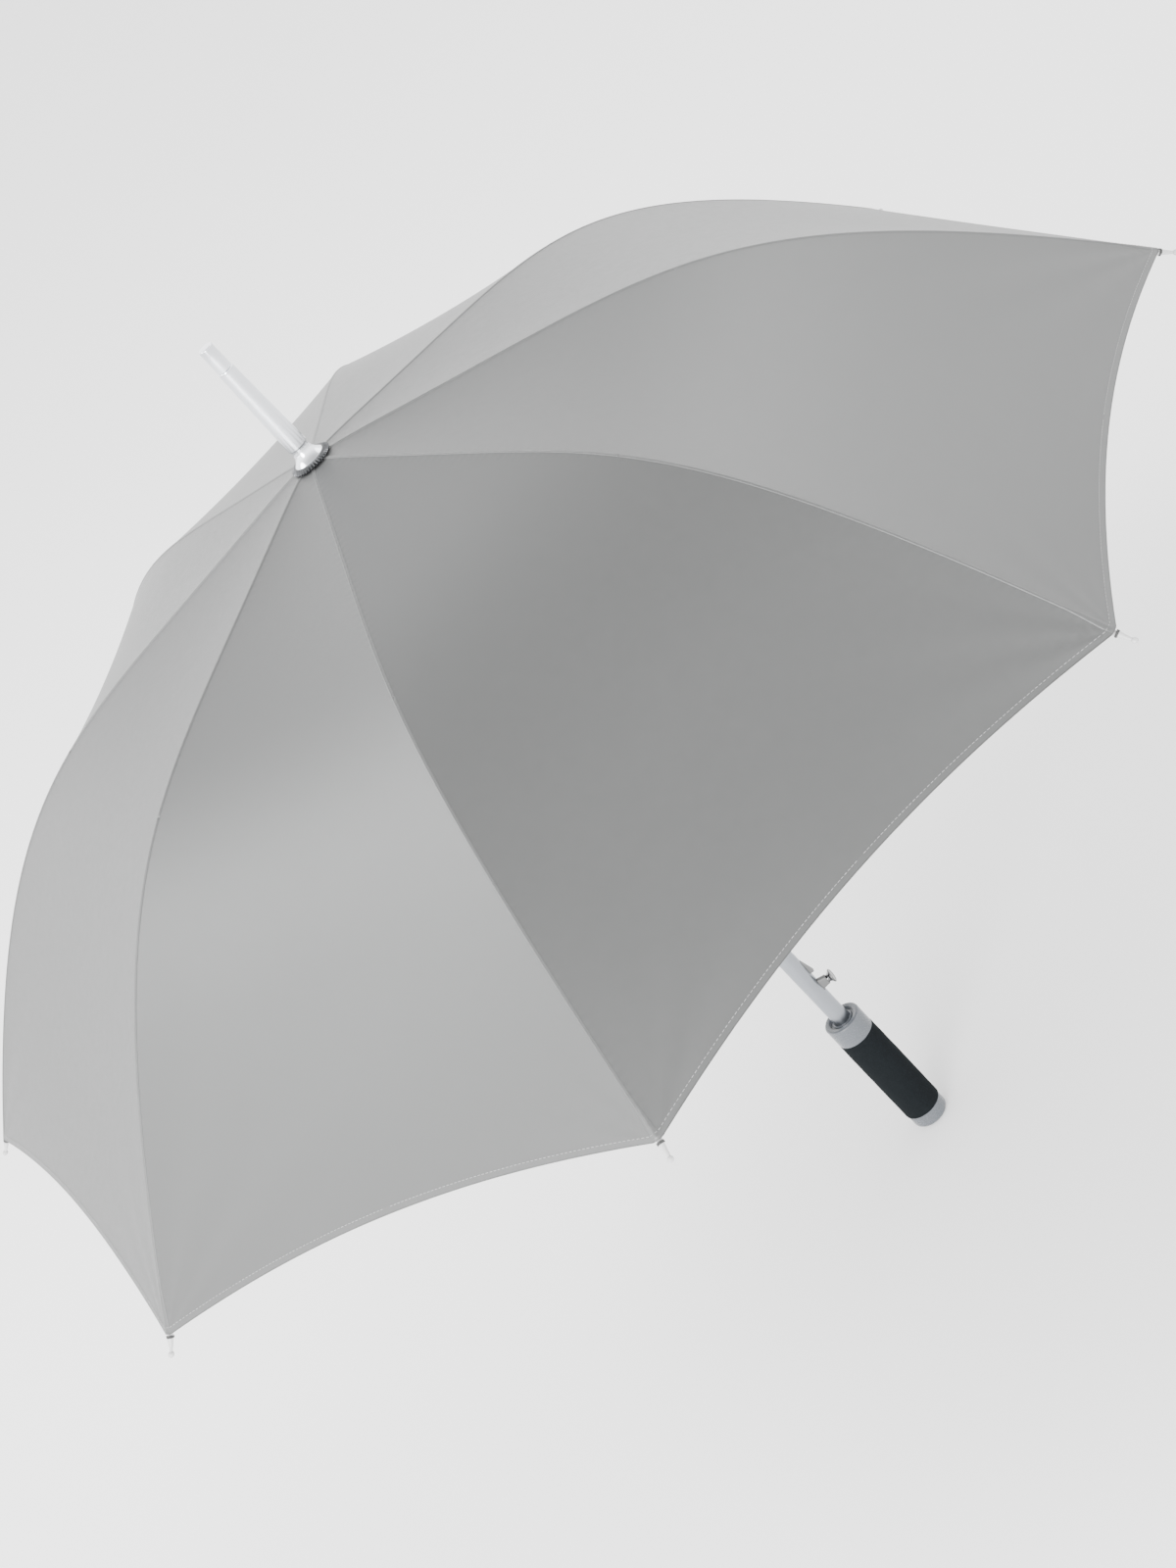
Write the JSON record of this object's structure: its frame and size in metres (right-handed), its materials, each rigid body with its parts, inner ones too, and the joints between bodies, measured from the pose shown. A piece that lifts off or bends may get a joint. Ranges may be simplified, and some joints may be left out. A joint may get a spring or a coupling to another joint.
{
  "type": "stick umbrella",
  "caption": "Open stick umbrella with a domed cloth canopy, jointed ribs, a spring-driven runner, a press-button latch, a foam grip and a long ferrule.",
  "frame": {"origin": "centre of the flat end of the grip, on the shaft's axis", "axes": "+Z along the shaft towards the ferrule, +X towards the push button and rib 1, canopy open"},
  "size_m": [1.0642, 1.0642, 0.8317],
  "materials": {
    "silver_cloth": "satin woven polyester",
    "shaft_aluminium": "satin anodised",
    "pearl_plastic": "silver-painted moulding",
    "washer_steel": "dark nickel",
    "notch_plastic": "moulded nylon",
    "wire_steel": "bright wire",
    "spring_steel": "oiled spring wire",
    "grip_plastic": "silver-painted moulding",
    "grip_foam": "closed-cell foam",
    "rib_steel": "grey coated channel",
    "tip_plastic": "moulded nylon",
    "button_chrome": "polished",
    "latch_steel": "bright strip",
    "button_plastic": "moulded"
  },
  "bodies": {
    "shaft": {"shaft_tube": "shaft_aluminium", "shaft_pins": "wire_steel", "ferrule": "pearl_plastic", "ferrule_cap": "pearl_plastic", "serrated_washer": "washer_steel", "crown": "notch_plastic", "crown_wire": "wire_steel", "stop_ring": "wire_steel", "main_spring": "spring_steel", "grip_collar": "grip_plastic", "foam_grip": "grip_foam", "end_cap": "grip_plastic", "latch_spring": "spring_steel"},
    "latch": {"latch_bar": "latch_steel", "hold_down_catch": "latch_steel", "push_button": "button_plastic", "button_cap": "button_chrome"},
    "runner": {"runner": "notch_plastic", "runner_wire": "wire_steel", "spring_carrier": "notch_plastic"},
    "rib_inner_1": {"rib_inner_1": "rib_steel", "canopy_panel_1": "silver_cloth"},
    "rib_outer_1": {"rib_outer_1": "rib_steel", "rib_tip_1": "tip_plastic"},
    "stretcher_1": {"stretcher_1": "rib_steel"},
    "rib_inner_2": {"rib_inner_2": "rib_steel", "canopy_panel_2": "silver_cloth"},
    "rib_outer_2": {"rib_outer_2": "rib_steel", "rib_tip_2": "tip_plastic"},
    "stretcher_2": {"stretcher_2": "rib_steel"},
    "rib_inner_3": {"rib_inner_3": "rib_steel", "canopy_panel_3": "silver_cloth"},
    "rib_outer_3": {"rib_outer_3": "rib_steel", "rib_tip_3": "tip_plastic"},
    "stretcher_3": {"stretcher_3": "rib_steel"},
    "rib_inner_4": {"rib_inner_4": "rib_steel", "canopy_panel_4": "silver_cloth"},
    "rib_outer_4": {"rib_outer_4": "rib_steel", "rib_tip_4": "tip_plastic"},
    "stretcher_4": {"stretcher_4": "rib_steel"},
    "rib_inner_5": {"rib_inner_5": "rib_steel", "canopy_panel_5": "silver_cloth"},
    "rib_outer_5": {"rib_outer_5": "rib_steel", "rib_tip_5": "tip_plastic"},
    "stretcher_5": {"stretcher_5": "rib_steel"},
    "rib_inner_6": {"rib_inner_6": "rib_steel", "canopy_panel_6": "silver_cloth"},
    "rib_outer_6": {"rib_outer_6": "rib_steel", "rib_tip_6": "tip_plastic"},
    "stretcher_6": {"stretcher_6": "rib_steel"},
    "rib_inner_7": {"rib_inner_7": "rib_steel", "canopy_panel_7": "silver_cloth"},
    "rib_outer_7": {"rib_outer_7": "rib_steel", "rib_tip_7": "tip_plastic"},
    "stretcher_7": {"stretcher_7": "rib_steel"},
    "rib_inner_8": {"rib_inner_8": "rib_steel", "canopy_panel_8": "silver_cloth"},
    "rib_outer_8": {"rib_outer_8": "rib_steel", "rib_tip_8": "tip_plastic"},
    "stretcher_8": {"stretcher_8": "rib_steel"}
  },
  "joints": [
    {"name": "fold_1", "type": "hinge", "parent": "shaft", "child": "rib_inner_1", "pos_m": [0.01145, 0, 0.71503], "axis": [0, 1, 0], "range_deg": [0, 76.92], "stiffness_Nm_per_rad": 2, "springref_deg": -68.75, "deforming": ["main_spring", "hold_down_catch", "canopy_panel_1", "canopy_panel_2", "canopy_panel_3", "canopy_panel_4", "canopy_panel_5", "canopy_panel_6", "canopy_panel_7", "canopy_panel_8"]},
    {"name": "elbow_1", "type": "hinge", "parent": "rib_inner_1", "child": "rib_outer_1", "pos_m": [0.26804, 0, 0.66621], "axis": [0, 1, 0], "range_deg": [-25.79, 0]},
    {"name": "stretcher_pivot_1", "type": "hinge", "parent": "rib_inner_1", "child": "stretcher_1", "pos_m": [0.25783, 0, 0.66454], "axis": [0, 1, 0], "range_deg": [-153.86, 0]},
    {"name": "fold_2", "type": "hinge", "parent": "shaft", "child": "rib_inner_2", "pos_m": [0.0081, 0.0081, 0.71503], "axis": [-0.7071, 0.7071, 0], "range_deg": [0, 76.92]},
    {"name": "elbow_2", "type": "hinge", "parent": "rib_inner_2", "child": "rib_outer_2", "pos_m": [0.18953, 0.18953, 0.66621], "axis": [-0.7071, 0.7071, 0], "range_deg": [-25.79, 0]},
    {"name": "stretcher_pivot_2", "type": "hinge", "parent": "rib_inner_2", "child": "stretcher_2", "pos_m": [0.18231, 0.18231, 0.66454], "axis": [-0.7071, 0.7071, 0], "range_deg": [-153.86, 0]},
    {"name": "fold_3", "type": "hinge", "parent": "shaft", "child": "rib_inner_3", "pos_m": [0, 0.01145, 0.71503], "axis": [-1, 0, 0], "range_deg": [0, 76.92]},
    {"name": "elbow_3", "type": "hinge", "parent": "rib_inner_3", "child": "rib_outer_3", "pos_m": [0, 0.26804, 0.66621], "axis": [-1, 0, 0], "range_deg": [-25.79, 0]},
    {"name": "stretcher_pivot_3", "type": "hinge", "parent": "rib_inner_3", "child": "stretcher_3", "pos_m": [0, 0.25783, 0.66454], "axis": [-1, 0, 0], "range_deg": [-153.86, 0]},
    {"name": "fold_4", "type": "hinge", "parent": "shaft", "child": "rib_inner_4", "pos_m": [-0.0081, 0.0081, 0.71503], "axis": [-0.7071, -0.7071, 0], "range_deg": [0, 76.92]},
    {"name": "elbow_4", "type": "hinge", "parent": "rib_inner_4", "child": "rib_outer_4", "pos_m": [-0.18953, 0.18953, 0.66621], "axis": [-0.7071, -0.7071, 0], "range_deg": [-25.79, 0]},
    {"name": "stretcher_pivot_4", "type": "hinge", "parent": "rib_inner_4", "child": "stretcher_4", "pos_m": [-0.18231, 0.18231, 0.66454], "axis": [-0.7071, -0.7071, 0], "range_deg": [-153.86, 0]},
    {"name": "fold_5", "type": "hinge", "parent": "shaft", "child": "rib_inner_5", "pos_m": [-0.01145, 0, 0.71503], "axis": [0, -1, 0], "range_deg": [0, 76.92]},
    {"name": "elbow_5", "type": "hinge", "parent": "rib_inner_5", "child": "rib_outer_5", "pos_m": [-0.26804, 0, 0.66621], "axis": [0, -1, 0], "range_deg": [-25.79, 0]},
    {"name": "stretcher_pivot_5", "type": "hinge", "parent": "rib_inner_5", "child": "stretcher_5", "pos_m": [-0.25783, 0, 0.66454], "axis": [0, -1, 0], "range_deg": [-153.86, 0]},
    {"name": "fold_6", "type": "hinge", "parent": "shaft", "child": "rib_inner_6", "pos_m": [-0.0081, -0.0081, 0.71503], "axis": [0.7071, -0.7071, 0], "range_deg": [0, 76.92]},
    {"name": "elbow_6", "type": "hinge", "parent": "rib_inner_6", "child": "rib_outer_6", "pos_m": [-0.18953, -0.18953, 0.66621], "axis": [0.7071, -0.7071, 0], "range_deg": [-25.79, 0]},
    {"name": "stretcher_pivot_6", "type": "hinge", "parent": "rib_inner_6", "child": "stretcher_6", "pos_m": [-0.18231, -0.18231, 0.66454], "axis": [0.7071, -0.7071, 0], "range_deg": [-153.86, 0]},
    {"name": "fold_7", "type": "hinge", "parent": "shaft", "child": "rib_inner_7", "pos_m": [0, -0.01145, 0.71503], "axis": [1, 0, 0], "range_deg": [0, 76.92]},
    {"name": "elbow_7", "type": "hinge", "parent": "rib_inner_7", "child": "rib_outer_7", "pos_m": [0, -0.26804, 0.66621], "axis": [1, 0, 0], "range_deg": [-25.79, 0]},
    {"name": "stretcher_pivot_7", "type": "hinge", "parent": "rib_inner_7", "child": "stretcher_7", "pos_m": [0, -0.25783, 0.66454], "axis": [1, 0, 0], "range_deg": [-153.86, 0]},
    {"name": "fold_8", "type": "hinge", "parent": "shaft", "child": "rib_inner_8", "pos_m": [0.0081, -0.0081, 0.71503], "axis": [0.7071, 0.7071, 0], "range_deg": [0, 76.92]},
    {"name": "elbow_8", "type": "hinge", "parent": "rib_inner_8", "child": "rib_outer_8", "pos_m": [0.18953, -0.18953, 0.66621], "axis": [0.7071, 0.7071, 0], "range_deg": [-25.79, 0]},
    {"name": "stretcher_pivot_8", "type": "hinge", "parent": "rib_inner_8", "child": "stretcher_8", "pos_m": [0.18231, -0.18231, 0.66454], "axis": [0.7071, 0.7071, 0], "range_deg": [-153.86, 0]},
    {"name": "runner_travel", "type": "hinge", "parent": "stretcher_1", "child": "runner", "pos_m": [0.01145, 0, 0.61406], "axis": [0, 1, 0], "range_deg": [0, 76.94]},
    {"name": "button_press", "type": "hinge", "parent": "shaft", "child": "latch", "pos_m": [0, 0, 0.106], "axis": [0, -1, 0], "range_deg": [0, 3.1], "stiffness_Nm_per_rad": 2, "springref_deg": -6.88, "deforming": ["latch_spring"]}
  ],
  "couplings": [
    {"joint": "elbow_1", "follows": "fold_1", "ratio": -0.33508},
    {"joint": "stretcher_pivot_1", "follows": "fold_1", "ratio": -2},
    {"joint": "fold_2", "follows": "fold_1", "ratio": 1},
    {"joint": "elbow_2", "follows": "fold_1", "ratio": -0.33508},
    {"joint": "stretcher_pivot_2", "follows": "fold_1", "ratio": -2},
    {"joint": "fold_3", "follows": "fold_1", "ratio": 1},
    {"joint": "elbow_3", "follows": "fold_1", "ratio": -0.33508},
    {"joint": "stretcher_pivot_3", "follows": "fold_1", "ratio": -2},
    {"joint": "fold_4", "follows": "fold_1", "ratio": 1},
    {"joint": "elbow_4", "follows": "fold_1", "ratio": -0.33508},
    {"joint": "stretcher_pivot_4", "follows": "fold_1", "ratio": -2},
    {"joint": "fold_5", "follows": "fold_1", "ratio": 1},
    {"joint": "elbow_5", "follows": "fold_1", "ratio": -0.33508},
    {"joint": "stretcher_pivot_5", "follows": "fold_1", "ratio": -2},
    {"joint": "fold_6", "follows": "fold_1", "ratio": 1},
    {"joint": "elbow_6", "follows": "fold_1", "ratio": -0.33508},
    {"joint": "stretcher_pivot_6", "follows": "fold_1", "ratio": -2},
    {"joint": "fold_7", "follows": "fold_1", "ratio": 1},
    {"joint": "elbow_7", "follows": "fold_1", "ratio": -0.33508},
    {"joint": "stretcher_pivot_7", "follows": "fold_1", "ratio": -2},
    {"joint": "fold_8", "follows": "fold_1", "ratio": 1},
    {"joint": "elbow_8", "follows": "fold_1", "ratio": -0.33508},
    {"joint": "stretcher_pivot_8", "follows": "fold_1", "ratio": -2},
    {"joint": "runner_travel", "follows": "fold_1", "ratio": 1}
  ]
}
